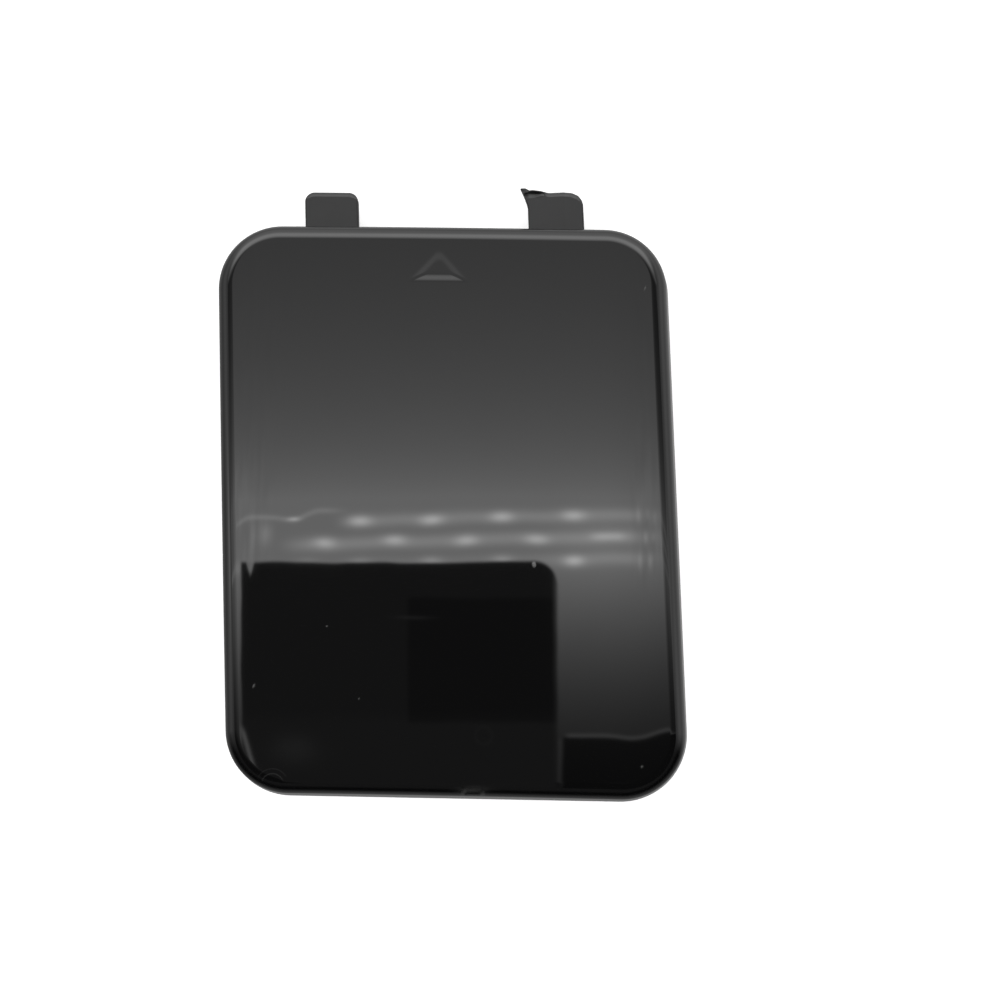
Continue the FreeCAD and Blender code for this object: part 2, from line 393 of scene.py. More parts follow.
def inside(points, poly):
    """True for each point inside the polygon."""
    x, y = points[:, 0], points[:, 1]
    hit = np.zeros(len(points), bool)
    for (x0, y0), (x1, y1) in zip(poly, np.roll(poly, -1, 0)):
        cross = (y0 > y) != (y1 > y)
        with np.errstate(divide="ignore", invalid="ignore"):
            hit ^= cross & (x < (x1 - x0) * (y - y0) / (y1 - y0) + x0)
    return hit


def fill(outer, holes, spacing):
    """Triangles over the outer ring, less its holes: the points, rings first, and the triangles."""
    rings = [outer] + holes
    points = np.concatenate(rings)
    edges, start = [], 0
    for ring in rings:
        n = len(ring)
        edges += [(start + k, start + (k + 1) % n) for k in range(n)]
        start += n
    low, high = outer.min(0), outer.max(0)
    rows = []
    for k, y in enumerate(np.arange(low[1], high[1], spacing * 0.866)):
        xs = np.arange(low[0] + spacing / 2 * (k % 2), high[0], spacing)
        rows.append(np.column_stack([xs, np.full(len(xs), y)]))
    grid = np.concatenate(rows)
    grid = grid[inside(grid, outer)]
    for hole in holes:
        grid = grid[~inside(grid, hole)]
    gap = np.min(np.linalg.norm(grid[:, None] - points[None], axis=2), axis=1)
    grid = grid[gap > spacing * 0.55]
    total = np.concatenate([points, grid])
    _, _, faces, origin, _, _ = delaunay_2d_cdt([Vector(p) for p in total], edges, [], 1, 1e-6)
    order = [o[0] for o in origin]
    tris = []
    for f in faces:
        tri = [order[v] for v in f]
        a, b, c = total[tri]
        if (b[0] - a[0]) * (c[1] - a[1]) - (b[1] - a[1]) * (c[0] - a[0]) < 0:
            tri = tri[::-1]
        tris.append(tri)
    middles = np.array([total[t].mean(0) for t in tris])
    keep = np.ones(len(tris), bool)
    for hole in holes:
        keep &= ~inside(middles, hole)
    return total, [t for t, k in zip(tris, keep) if k]


# The arrow sunk in the face

def arrow_ring(d):
    """Ring of the arrow's triangle moved inwards by d, and the ways in, longer where it moves less."""
    half = ARROW_WIDTH / 2
    base = -ARROW_HEIGHT / 2 + d
    apex = ARROW_HEIGHT / 2 - d * ARROW_SIDES * math.hypot(half, ARROW_HEIGHT) / half
    foot = (apex - base) * half / ARROW_HEIGHT
    tri = [np.array(p) for p in ((-foot, base), (foot, base), (0.0, apex))]
    radii = [ARROW_CORNER, ARROW_CORNER, ARROW_TIP]
    rounds = [corner(tri[k - 1], tri[k], tri[(k + 1) % 3], radii[k]) for k in range(3)]
    arc_steps, side_steps = 8, 14
    points, ways = [], []
    for k, (centre, start, end, h) in enumerate(rounds):
        sweep = math.pi - 2 * h
        for j in range(arc_steps + 1):
            share = j / arc_steps
            t = angle(centre, start) + sweep * share
            ray = np.array([math.cos(t), math.sin(t)])
            points.append(centre + radii[k] * ray)
            slow = (1 - share, share, 1.0)[k]
            steep = math.sin(h) / math.cos(sweep * (share - 0.5)) * (1 - slow + slow / ARROW_SIDES)
            ways.append(-ray * steep)
        b = direction(tri[k], tri[(k + 1) % 3])
        run = rounds[(k + 1) % 3][1] - end
        for j in range(1, side_steps):
            points.append(end + run * j / side_steps)
            ways.append(np.array([-b[1], b[0]]) * (1 / ARROW_SIDES if k else 1.0))
    c, s = math.cos(-SLOPE), math.sin(-SLOPE)
    turn = np.array([[c, s], [-s, c]])
    middle = np.array([ARROW_X, edge_y(ARROW_X, 1) - ARROW_INSET + ARROW_HEIGHT / 2])
    return np.array(points) @ turn + middle, np.array(ways) @ turn


def arrow_depth(d):
    """Depth of the mark at d inside its outline, and how fast it grows there."""
    slope = ARROW_DEPTH / ARROW_RUN

    def ramp(v):
        return ARROW_SOFT * np.logaddexp(0, v / ARROW_SOFT)

    def gate(v):
        return 1 / (1 + np.exp(-v / ARROW_SOFT))

    return slope * (ramp(d) - ramp(d - ARROW_RUN)), slope * (gate(d) - gate(d - ARROW_RUN))


def make_shell():
    """The crowned shell: skin, rim and hollow, with exact normals."""
    b = Build()
    u = rim.samples()
    stretches = [("face", (0.6, 0.25)), ("round", tuple(j / 12 for j in range(12)))]
    stretches += [("wall", (0.0, 0.02, 0.25, 0.5, 0.75, 1.0)), ("lip", (0.25, 0.5, 0.75, 1.0))]
    stretches += [("inlip", (0.0, 0.33, 0.67)), ("inwall", (0.0, 0.5, 1.0))]
    stretches += [("inround", (0.17, 0.33, 0.5, 0.67, 0.83, 1.0)), ("inface", (1.2,))]
    rings = []
    for kind, places in stretches:
        slot = GLOSS if kind in ("face", "round", "wall", "lip") else SATIN
        for t in places:
            p = shell_point(u, kind, t)
            n = shell_normal(u, kind, t, p)
            rings.append((b.points(p, n), slot))
    for (upper, _), (lower, slot) in zip(rings, rings[1:]):
        b.band(upper, lower, slot)
    fill_face(b, rings[0][0])
    fill_hollow(b, rings[-1][0])
    return b


def fill_face(b, ring):
    """Closes the face inside the first ring, round the arrow."""
    outer = np.array([b.verts[v] for v in ring])[:, :2]
    steps = [-0.42, -0.34, -0.27, -0.2, -0.14, -0.08, -0.03, 0.03, 0.08, 0.14, 0.2, 0.28, 0.38]
    steps += [0.52, 0.66, 0.76, 0.84, 0.9, 0.96, 1.02, 1.08, 1.14, 1.2, 1.28, 1.38]
    hole = arrow_ring(steps[0])[0]
    points, tris = fill(outer, [hole], 2.4)
    m, count = len(outer), len(hole)
    places = on_crown(points)[m:]
    ids = list(ring) + b.points(places, (places - HUB) / CROWN_R)
    b.patch(ids, tris, GLOSS)
    before = ids[m:m + count]
    for d in steps[1:]:
        xy, ways = arrow_ring(d)
        sink, grow = arrow_depth(d)
        normals = (on_crown(xy) - HUB) / CROWN_R + np.column_stack([ways * grow, np.zeros(count)])
        after = b.points(on_crown(xy, sink=sink), unit(normals))
        b.band(after, before, GLOSS)
        before = after
    points, tris = fill(xy, [], 0.5)
    sink = arrow_depth(steps[-1] + 0.3)[0]
    places = on_crown(points, sink=sink)[count:]
    ids = before + b.points(places, (places - HUB) / CROWN_R)
    b.patch(ids, tris, GLOSS)


def fill_hollow(b, ring):
    """Closes the ceiling of the hollow inside the last ring."""
    outer = np.array([b.verts[v] for v in ring])[:, :2]
    points, tris = fill(outer, [], 4.0)
    places = on_crown(points, FACE_WALL)[len(outer):]
    ids = list(ring) + b.points(places, unit(HUB - places))
    b.patch(ids, [t[::-1] for t in tris], SATIN)


# Closed pieces that join the shell

def stack(rings, slot, name):
    """Closed solid through rings of equal count, from the top down, capped at both ends."""
    b = Build()
    ids = b.tube(rings, slot)
    b.face(ids[0], slot)
    b.face(ids[-1][::-1], slot)
    return b.make(name)


def bar_ring(start, end, grow):
    """Ring round a rib in plan, grown by so much, from the middle of its far end."""
    start, end = np.array(start, float), np.array(end, float)
    length = np.linalg.norm(end - start)
    d = direction(start, end)
    side = np.array([-d[1], d[0]])
    r = max(RIB_CORNER + grow, 0.04)
    w, far = RIB_HALF + grow, length / 2 + grow
    quarter = [(math.cos(t), math.sin(t)) for t in np.linspace(0, math.pi / 2, 5)]
    cuts = max(2, int(length / 3.0))
    top = [(far, 0.0)]
    top += [(far - r + r * c, w - r + r * s) for c, s in quarter]
    top += [((far - r) * (1 - 2 * j / cuts), w) for j in range(1, cuts)]
    top += [(-(far - r) - r * c, w - r + r * s) for c, s in quarter[::-1]]
    top += [(-far, 0.0)]
    low = [(x, -y) for x, y in top[::-1]][1:-1]
    middle = (start + end) / 2
    return np.array([middle + d * x + side * y for x, y in top + low])


def make_rib(start, end, height, name):
    """Rib that hangs from the ceiling of the hollow, with a hollow root and a rounded edge."""
    levels = [(RIB_ROOT, -0.7)] + hollow_arc(RIB_ROOT) + [(-0.02, height - RIB_TIP)]
    for t in np.linspace(0.5, math.pi / 2, 4):
        grow = -0.02 - RIB_TIP + RIB_TIP * math.cos(t)
        levels.append((grow, height - RIB_TIP + RIB_TIP * math.sin(t)))
    b = Build()
    rings = [on_crown(bar_ring(start, end, grow), FACE_WALL, drop) for grow, drop in levels]
    ids = b.tube(rings, SATIN)
    n = len(ids[0])
    for ring, flip in ((ids[0], False), (ids[-1], True)):
        loops = [(ring[0], ring[1], ring[n - 1])]
        loops += [(ring[k], ring[k + 1], ring[n - k - 1], ring[n - k]) for k in range(1, n // 2 - 1)]
        loops += [(ring[n // 2 - 1], ring[n // 2], ring[n // 2 + 1])]
        for loop in loops:
            b.face(loop[::-1] if flip else loop, SATIN)
    return b.make(name)


def make_plate(profile, radii, thickness, place, name, bevel=0.22):
    """Plate with a profile in its own plane, its edges rounded; place puts (s, y, z) on the cover."""
    pts, nor = rounded(profile, radii, 4, 2.5)
    half = thickness / 2
    levels = [(half, bevel), (half - bevel * 0.12, bevel * 0.52)]
    levels += [(half - bevel * 0.5, bevel * 0.13), (half - bevel, 0.0)]
    levels += [(-s, cut) for s, cut in levels[::-1]]
    rings = [np.array([place(s, *(p - n * cut)) for p, n in zip(pts, nor)]) for s, cut in levels]
    return stack(rings, SATIN, name)


def make_fin(x, name):
    """Fin behind a tongue, with a slanted lead down to its flat foot."""
    y0 = edge_y(x, 1) - SKIRT_WALL + 0.9
    foot = y0 - 0.5 - 2.6
    top = float(crown_at(x, y0 - 5, FACE_WALL)) + 0.6
    profile = [(y0 - 9.4, top - 0.1), (y0 - 9.4, RIM_Z), (foot - 3.2, 0.0), (foot, 0.0)]
    profile += [(y0 - 0.5, 4.5), (y0 - 1.1, top - 0.6)]
    radii = [0, 0.8, 0.4, 0.4, 0.5, 0]
    return make_plate(profile, radii, FIN_THICKNESS, lambda s, y, z: (x + s, y, z), name)


def bottom_place(s, y, z):
    """Puts a point drawn with y pointing out of the cover at the bottom edge's middle."""
    c, k = math.cos(math.pi - SLOPE), math.sin(math.pi - SLOPE)
    return (c * s - k * y, -RIM_LENGTH / 2 + k * s + c * y, z)


def make_clip():
    """Spring clip: a wall on a wedge-shaped root, with a barb."""
    outer, wall, barb = -6.2, 1.7, 1.4
    inner = outer - wall
    catch = RIM_Z - 3.0
    face = float(crown_at(0, edge_y(0, -1) + 6.2, FACE_WALL))
    profile = [
        (inner - 1.2, face + 0.8), (inner - 1.2, face - 0.1), (inner, face - 1.5), (inner, 0.0),
        (inner + 0.9, 0.0), (outer + barb, catch - 0.5), (outer + barb, catch), (outer, catch),
        (outer, face - 1.5), (outer + 1.2, face - 0.1), (outer + 1.2, face + 0.8),
    ]
    radii = [0, 0.2, 1.4, 0.3, 0.3, 0.2, 0.15, 0.35, 1.4, 0.2, 0]
    return make_plate(profile, radii, CLIP_WIDTH, bottom_place, "clip", 0.35)


def make_cheek(side, name):
    """Short rib beside the clip, between face and skirt."""
    y0 = -SKIRT_WALL + 0.3
    low, top = RIM_Z + 0.8, 11.4
    x = side * (CLIP_WIDTH / 2 + CHEEK_THICKNESS / 2 + 1.8)
    profile = [(y0 - 7.0, top), (y0 - 3.5, low), (y0, low), (y0 - 0.7, top)]
    radii = [0, 1.2, 0.3, 0]
    return make_plate(profile, radii, CHEEK_THICKNESS, lambda s, y, z: bottom_place(x + s, y, z), name)


# The tongues

def tongue_rings(pts, nor, tip, inner):
    """Rings of a tongue from its top down: a wide chamfer at the tip and rounded sides."""
    rings = []
    run = (TONGUE_EDGE + (0.85 - TONGUE_EDGE) * tip) * inner
    drop = (TONGUE_EDGE + (0.42 - TONGUE_EDGE) * tip) * inner
    flat = 0.75 * tip
    for s in (0.0, 0.1, 0.3, 0.55, 0.8, 1.0):
        a = s * math.pi / 2
        off = run * (flat * (1 - s) + (1 - flat) * (1 - math.sin(a)))
        down = drop * (flat * s + (1 - flat) * (1 - math.cos(a)))
        rings.append(np.column_stack([pts - nor * off[:, None], TONGUE_TOP - down]))
    low = (0.12 + 0.5 * tip) * inner
    for off, up in ((0.0, 1.0), (0.3, 0.4), (0.9, 0.0)):
        rings.append(np.column_stack([pts - nor * (low * off)[:, None], TONGUE_LOW + low * up]))
    return rings


def tongue_masks(pts, nor):
    """Weights along the plan: 1 towards the tip, and 0 where the plan runs inside the shell."""
    out = pts[:, 1] - np.array([edge_y(x, 1) for x in pts[:, 0]])
    facing = nor @ np.array([math.sin(SLOPE), math.cos(SLOPE)])
    return smooth((facing - 0.15) / 0.75) * smooth((out - 3) / 1.5), smooth((out + 0.1) / 0.5)


def make_left_tongue():
    """The whole tongue, with round corners."""
    half = TONGUE_WIDTH / 2
    flare = half + TONGUE_FLARE
    plan = [(-flare, -TONGUE_BITE), (flare, -TONGUE_BITE), (flare, -0.3), (half, -0.3)]
    plan += [(half, TONGUE_REACH), (-half, TONGUE_REACH), (-half, -0.3), (-flare, -0.3)]
    radii = [0, 0, 0, 0.6, 1.65, 1.65, 0.6, 0]
    pts = [(TONGUE_LEFT + x, edge_y(TONGUE_LEFT + x, 1) + y) for x, y in plan]
    p, n = rounded(pts, radii, 9, 0.7)
    return stack(tongue_rings(p, n, *tongue_masks(p, n)), SATIN, "left_tongue")


def make_right_tongue():
    """The torn tongue: its left tip corner is drawn out into a horn, its right one worn round."""
    half = TONGUE_WIDTH / 2
    flare = half + TONGUE_FLARE
    left, right = TONGUE_RIGHT - flare, TONGUE_RIGHT + flare
    side = TONGUE_RIGHT - half - 0.42
    low = [(left, -TONGUE_BITE), (right, -TONGUE_BITE), (right, -0.3), (TONGUE_RIGHT + half, -0.3)]
    plan = [(x, edge_y(x, 1) + y, r) for (x, y), r in zip(low, (0, 0, 0, 0.6))]
    plan += [(24.78, 52.6, 0.6), (24.55, 53.4, 0.9), (24.0, 54.2, 1.1), (22.9, 54.76, 1.4)]
    plan += [(21.4, 54.93, 1.0), (19.0, 54.9, 0.6), (18.1, 55.06, 0.3), (17.2, 55.3, 0.3)]
    plan += [(16.1, 55.42, 0.0), (15.5, 55.34, 0.0), (14.9, 55.62, 0.0), (13.95, 55.58, 0.05)]
    plan += [(14.2, 55.0, 0.0), (14.62, 54.2, 0.0), (14.98, 53.4, 0.3), (side, 52.6, 0.8)]
    plan += [(side, edge_y(side, 1) - 0.3, 0.6), (left, edge_y(left, 1) - 0.3, 0)]
    p, n = rounded([(x, y) for x, y, _ in plan], [r for _, _, r in plan], 5, 0.45)
    tip, inner = tongue_masks(p, n)
    torn = smooth((18.6 - p[:, 0]) / 0.8) * smooth((p[:, 1] - 52.8) / 0.8)
    rings = tongue_rings(p, n, tip * (1 - torn), inner * (1 - 0.8 * torn))
    for ring in rings:
        horn = np.clip(((ring[:, 0] - 16.4) * -0.87 + (ring[:, 1] - 54.4) * 0.48) / 2.3, 0, 1)
        near = smooth((ring[:, 1] - 53.2) / 1.0)
        lift = 0.8 * horn**1.6 * near
        ring[:, 2] = TONGUE_TOP + (ring[:, 2] - TONGUE_TOP) * (1 - 0.62 * horn * near) + lift
        for k in np.nonzero(torn > 0.3)[0]:
            ring[k, 2] += 0.05 * math.sin(k * 2.3) * torn[k]
    return boolean(stack(rings, SATIN, "right_tongue"), [make_slit()], "DIFFERENCE")


def make_slit():
    """Cutter of the tear: a facet that slopes to a deep slit, wider in the middle."""
    stations = [(14.6, 54.84, 0.1), (15.15, 54.9, 0.22), (15.45, 55.08, 0.35), (15.8, 55.22, 0.6)]
    stations += [(16.6, 55.2, 1.2), (17.3, 55.1, 1.3), (17.75, 54.98, 0.9), (18.05, 54.86, 0.5)]
    near = 54.76
    rings = []
    for x, far, deep in stations:
        start = 53.93 + 0.35 * float(smooth((x - 16.2) / 1.8))
        facet = 0.34 * (1 - 0.6 * float(smooth((x - 16.6) / 1.4)))
        lift = 0.25 * float(smooth((16.6 - x) / 1.6))
        loop = [(start - 0.2, 8.0), (start, TONGUE_TOP + 0.02 + lift * 0.3)]
        loop += [(near, TONGUE_TOP - facet + lift), (near + 0.06, TONGUE_TOP - deep)]
        loop += [(max(far - 0.06, near + 0.07), TONGUE_TOP - deep)]
        loop += [(far, TONGUE_TOP + 0.1), (far + 0.05, 8.0)]
        rings.append(np.array([(x, y, z) for y, z in loop]))
    return stack(rings[::-1], TORN, "slit")


def make_cove(mid, name):
    """Hollow corner between a tongue's top and the skirt."""
    half = TONGUE_WIDTH / 2 - 0.15
    ends = [(-half, 0.05), (-half + 0.15, 0.5), (-half + 0.4, 0.9), (-half + 0.8, 1.0)]
    rings = []
    for x, share in ends + [(0.0, 1.0)] + [(-x, share) for x, share in ends[::-1]]:
        r = 0.5 * share
        loop = [(-0.5, -0.3), (r, -0.3)]
        loop += [(a - (0.5 + h) * math.tan(DRAFT), h) for a, h in hollow_arc(r)]
        loop += [(-0.5, r)]
        y = edge_y(mid + x, 1)
        rings.append(np.array([(mid + x, y + a, TONGUE_TOP + h) for a, h in loop]))
    return stack(rings[::-1], SATIN, name)


# Joining and finishing

def boolean(base, others, operation):
    """Joins or cuts the base with the others and returns a new object."""
    for other in others:
        m = base.modifiers.new("b", "BOOLEAN")
        m.operation = operation
        m.solver = "MANIFOLD"
        m.object = other
    bpy.context.view_layer.update()
    deps = bpy.context.evaluated_depsgraph_get()
    mesh = bpy.data.meshes.new_from_object(base.evaluated_get(deps))
    out = link(base.name, mesh)
    for used in [base] + others:
        old = used.data
        bpy.data.objects.remove(used)
        bpy.data.meshes.remove(old)
    return out


def close_short_edges(obj):
    """Closes up the slivers that the joins leave."""
    bm = bmesh.new()
    bm.from_mesh(obj.data)
    bmesh.ops.dissolve_degenerate(bm, dist=SHORT_EDGE, edges=bm.edges)
    bm.to_mesh(obj.data)
    bm.free()


def read(items, name, kind, width=1):
    """The named values of all the items."""
    values = np.zeros(len(items) * width, kind)
    items.foreach_get(name, values)
    return values


def face_averages(mesh, limit):
    """Normals at the corners of the faces: averages over the faces within the angle limit."""
    count = len(mesh.loops)
    vert = read(mesh.loops, "vertex_index", int)
    totals = read(mesh.polygons, "loop_total", int)
    poly = np.repeat(np.arange(len(totals)), totals)
    normal = read(mesh.polygons, "normal", float, 3).reshape(-1, 3)
    area = read(mesh.polygons, "area", float)
    order = np.argsort(vert, kind="stable")
    sorted_vert = vert[order]
    first = np.searchsorted(sorted_vert, np.arange(len(mesh.vertices)))
    valence = np.bincount(vert, minlength=len(mesh.vertices))
    per_loop = valence[vert]
    left = np.repeat(np.arange(count), per_loop)
    begin = np.repeat(np.cumsum(per_loop) - per_loop, per_loop)
    nth = np.arange(len(left)) - begin
    right = order[first[vert[left]] + nth]
    near = (normal[poly[left]] * normal[poly[right]]).sum(1) > math.cos(math.radians(limit))
    weight = (np.sqrt(area[poly[right]]) + 1e-9) * near
    out = np.zeros((count, 3))
    for axis in range(3):
        out[:, axis] = np.bincount(left, weight * normal[poly[right], axis], minlength=count)
    out /= np.maximum(np.linalg.norm(out, axis=1), 1e-12)[:, None]
    return out, vert, poly, normal


def set_normals(obj, shell):
    """Exact normals on the shell's own vertices, face averages elsewhere."""
    mesh = obj.data
    out, vert, poly, face_normal = face_averages(mesh, SHARP)
    tree = KDTree(len(shell.verts))
    for k, v in enumerate(shell.verts):
        tree.insert(v, k)
    tree.balance()
    known = np.zeros((len(mesh.vertices), 3))
    for v in mesh.vertices:
        _, k, gap = tree.find(v.co)
        if gap < SAME_POINT:
            known[v.index] = shell.normals[k]
    exact = known[vert]
    close = (exact * face_normal[poly]).sum(1) > 0.8
    out[close] = exact[close]
    mesh.polygons.foreach_set("use_smooth", [True] * len(mesh.polygons))
    mesh.normals_split_custom_set([tuple(n) for n in out])


def make_cover():
    """The whole moulding as one closed mesh, in metres, where the CAD node is."""
    shell = make_shell()
    base = shell.make("cover_moulding")
    tongues = ((TONGUE_LEFT, "left"), (TONGUE_RIGHT, "right"))
    parts = [make_left_tongue(), make_right_tongue()]
    parts += [make_cove(mid, f"cove_{name}") for mid, name in tongues]
    for mid, name in tongues:
        for k, side in enumerate((-1, 1)):
            parts.append(make_fin(mid + side * FIN_OFFSET, f"fin_{name}_{k}"))
    parts += [make_clip(), make_cheek(-1, "cheek_a"), make_cheek(1, "cheek_b")]
    for k in range(3):
        x = (k - 1) * RIB_PITCH[0]
        ends = [(x, edge_y(x, side) - side * RIB_GAP) for side in (-1, 1)]
        parts.append(make_rib(*ends, RIB_HEIGHT[0], f"long_rib_{k}"))
    reach = RIM_WIDTH / 2 - 7.7
    for k in range(3):
        y = (k - 1) * RIB_PITCH[1]
        ends = [(x, y - x * math.tan(SLOPE)) for x in (-reach, reach)]
        parts.append(make_rib(*ends, RIB_HEIGHT[1], f"cross_rib_{k}"))
    obj = boolean(base, parts, "UNION")
    obj.name = "cover"
    close_short_edges(obj)
    set_normals(obj, shell)
    obj.data.transform(Matrix.Translation((0, -SHIFT_Y * MM, 0)) @ Matrix.Scale(MM, 4))
    return obj


# Materials

class Sum:
    """A number worked out by shader nodes, written as plain arithmetic."""

    def __init__(self, tree, socket):
        self.tree, self.socket = tree, socket

    def node(self, operation, *others):
        n = self.tree.nodes.new("ShaderNodeMath")
        n.operation = operation
        for k, v in enumerate((self,) + others):
            if isinstance(v, Sum):
                self.tree.links.new(v.socket, n.inputs[k])
            else:
                n.inputs[k].default_value = float(v)
        return Sum(self.tree, n.outputs[0])

    def __add__(self, other):
        return self.node("ADD", other)

    def __sub__(self, other):
        return self.node("SUBTRACT", other)

    def __mul__(self, other):
        return self.node("MULTIPLY", other)

    def __rsub__(self, other):
        return self * -1.0 + other

    __radd__ = __add__
    __rmul__ = __mul__

    def least(self, other):
        return self.node("MINIMUM", other)

    def most(self, other):
        return self.node("MAXIMUM", other)

    def power(self, exponent):
        return self.node("POWER", exponent)

    def exp(self):
        return self.node("EXPONENT")

    def bell(self, middle, width):
        """1 at the middle, 1/e at the width to each side."""
        t = (self - middle) * (1.0 / width)
        return (t * t * -1.0).exp()

    def step(self, low, high):
        """0 below low, 1 above high, smooth between them."""
        n = self.tree.nodes.new("ShaderNodeMapRange")
        n.interpolation_type = "SMOOTHSTEP"
        self.tree.links.new(self.socket, n.inputs["Value"])
        n.inputs["From Min"].default_value = low
        n.inputs["From Max"].default_value = high
        return Sum(self.tree, n.outputs[0])


def axes(tree, vector, unit=1.0):
    """The three components of a vector, in the given unit."""
    n = tree.nodes.new("ShaderNodeSeparateXYZ")
    tree.links.new(vector, n.inputs[0])
    return [Sum(tree, out) * (1.0 / unit) for out in n.outputs]


def noise(tree, place, scale, detail=2.0, stretch=(1, 1, 1), turn=0.0):
    """Soft noise from 0 to 1; scale is in features per metre."""
    m = tree.nodes.new("ShaderNodeMapping")
    m.inputs["Scale"].default_value = stretch
    m.inputs["Rotation"].default_value = (0, 0, turn)
    tree.links.new(place, m.inputs[0])
    n = tree.nodes.new("ShaderNodeTexNoise")
    n.inputs["Scale"].default_value = scale
    n.inputs["Detail"].default_value = detail
    tree.links.new(m.outputs[0], n.inputs["Vector"])
    return Sum(tree, n.outputs["Fac"])


def specks(tree, place, scale, radius, share):
    """Round specks of the radius in metres, in the given share of the cells of a grid."""
    n = tree.nodes.new("ShaderNodeTexVoronoi")
    n.inputs["Scale"].default_value = scale
    tree.links.new(place, n.inputs["Vector"])
    cell = tree.nodes.new("ShaderNodeSeparateColor")
    tree.links.new(n.outputs["Color"], cell.inputs[0])
    chosen = 1.0 - Sum(tree, cell.outputs[0]).step(share, share + 0.01)
    size = Sum(tree, cell.outputs[1]) * 0.7 + 0.3
    near = 1.0 - (Sum(tree, n.outputs["Distance"]) * (1.0 / (scale * radius)) - size).step(-0.3, 0.0)
    return near * chosen


def blot(x, y, at, size, turn=0.0):
    """Soft oval mark at a place on the cover, in millimetres."""
    c, s = math.cos(turn), math.sin(turn)
    along = x * c + y * s - (at[0] * c + at[1] * s)
    across = y * c - x * s - (at[1] * c - at[0] * s)
    return along.bell(0.0, size[0]) * across.bell(0.0, size[1])


def distance(a, b):
    """Length of the vector (a, b)."""
    return (a * a + b * b).power(0.5)


def mix(tree, amount, low, high):
    """Colour between low and high."""
    n = tree.nodes.new("ShaderNodeMix")
    n.data_type = "RGBA"
    sockets = {socket.identifier: socket for socket in n.inputs}
    sockets["A_Color"].default_value = (*low, 1)
    sockets["B_Color"].default_value = (*high, 1)
    tree.links.new(amount.socket, sockets["Factor_Float"])
    return next(out for out in n.outputs if out.identifier == "Result_Color")


def coordinates(tree, kind="Object"):
    return tree.nodes.new("ShaderNodeTexCoord").outputs[kind]


def new_material(name, shader):
    """Material of one shader alone: the material, its tree and the shader's node."""
    mat = bpy.data.materials.new(name)
    mat.use_nodes = True
    tree = mat.node_tree
    tree.nodes.clear()
    out = tree.nodes.new("ShaderNodeOutputMaterial")
    node = tree.nodes.new(shader)
    tree.links.new(node.outputs[0], out.inputs[0])
    return mat, tree, node


def plastic(name, ior):
    """Plastic of the given index: the material, its tree, the shader's node and the coordinates."""
    mat, tree, bsdf = new_material(name, "ShaderNodeBsdfPrincipled")
    bsdf.inputs["IOR"].default_value = ior
    return mat, tree, bsdf, coordinates(tree)


def finish(tree, bsdf, colour, roughness, height):
    """Links the colour, the roughness, and the height in metres as bump."""
    tree.links.new(colour, bsdf.inputs["Base Color"])
    tree.links.new(roughness.socket, bsdf.inputs["Roughness"])
    bump = tree.nodes.new("ShaderNodeBump")
    bump.inputs["Strength"].default_value = 1.0
    bump.inputs["Distance"].default_value = 1.0
    tree.links.new(height.socket, bump.inputs["Height"])
    tree.links.new(bump.outputs[0], bsdf.inputs["Normal"])


# Nicks and smears on the gloss, in millimetres from the middle of the rim: place, half sizes, turn
NICKS = [
    ((-20.5, -19.6), (0.16, 0.12), 0.0), ((-32.9, -29.0), (0.3, 0.13), 1.1),
    ((-15.5, -31.7), (0.13, 0.13), 0.0), ((30.7, -44.3), (0.2, 0.17), 0.8),
    ((14.1, -10.7), (0.2, 0.3), 0.0), ((34.5, 35.8), (0.35, 0.12), 1.2),
]


def gloss_material():
    """High-gloss moulded black: slight waves of the skin, dust, hairlines, and the worn places."""
    mat, tree, bsdf, place = plastic("gloss_black_front", 1.5)
    x, y, _ = axes(tree, place, MM)
    y = y + SHIFT_Y
    waves = noise(tree, place, 42, 1.5) * 5.5e-6
    peel = noise(tree, place, 520, 1.0) * 1.6e-7
    film = noise(tree, place, 95, 4.0, (1, 0.7, 1), 0.5)
    dust = specks(tree, place, 260, 0.00009, 0.07)
    hair = noise(tree, place, 240, 2.0, (1, 0.016, 1), 0.62).step(0.715, 0.73)
    hair = hair + noise(tree, place, 210, 2.0, (1, 0.02, 1), -1.1).step(0.72, 0.735)
    nicks = sum(blot(x, y, *nick) for nick in NICKS)
    bow = distance(x + 30.3, y + 45.4)
    arc = bow.bell(1.9, 0.09) * (y + 44.9).step(0.0, 0.5)
    arc = arc + bow.bell(2.7, 0.07) * (y + 44.3).step(0.0, 0.6) * 0.6
    smudge = blot(x, y, (-27.0, -40.0), (3.4, 1.9), 0.25)
    cut = (x - GATE_X).bell(0.0, 2.1) * (y + 47.2).bell(0.0, 0.5) * 0.3
    cut = cut + blot(x, y, (1.2, -47.7), (0.3, 0.7), -0.6) * 0.4
    cut = cut + blot(x, y, (4.3, -48.0), (0.4, 0.3)) * 0.6
    bad = (dust * 0.35 + nicks + arc * 0.25 + cut).least(1.0)
    colour = mix(tree, bad, (0.0024, 0.0024, 0.0025), (0.055, 0.055, 0.054))
    rough = film * 0.014 + 0.019 + smudge * 0.035 + bad * 0.3 + hair * 0.05
    finish(tree, bsdf, colour, rough, waves + peel + bad * 6e-6 - hair * 1.2e-7)
    return mat


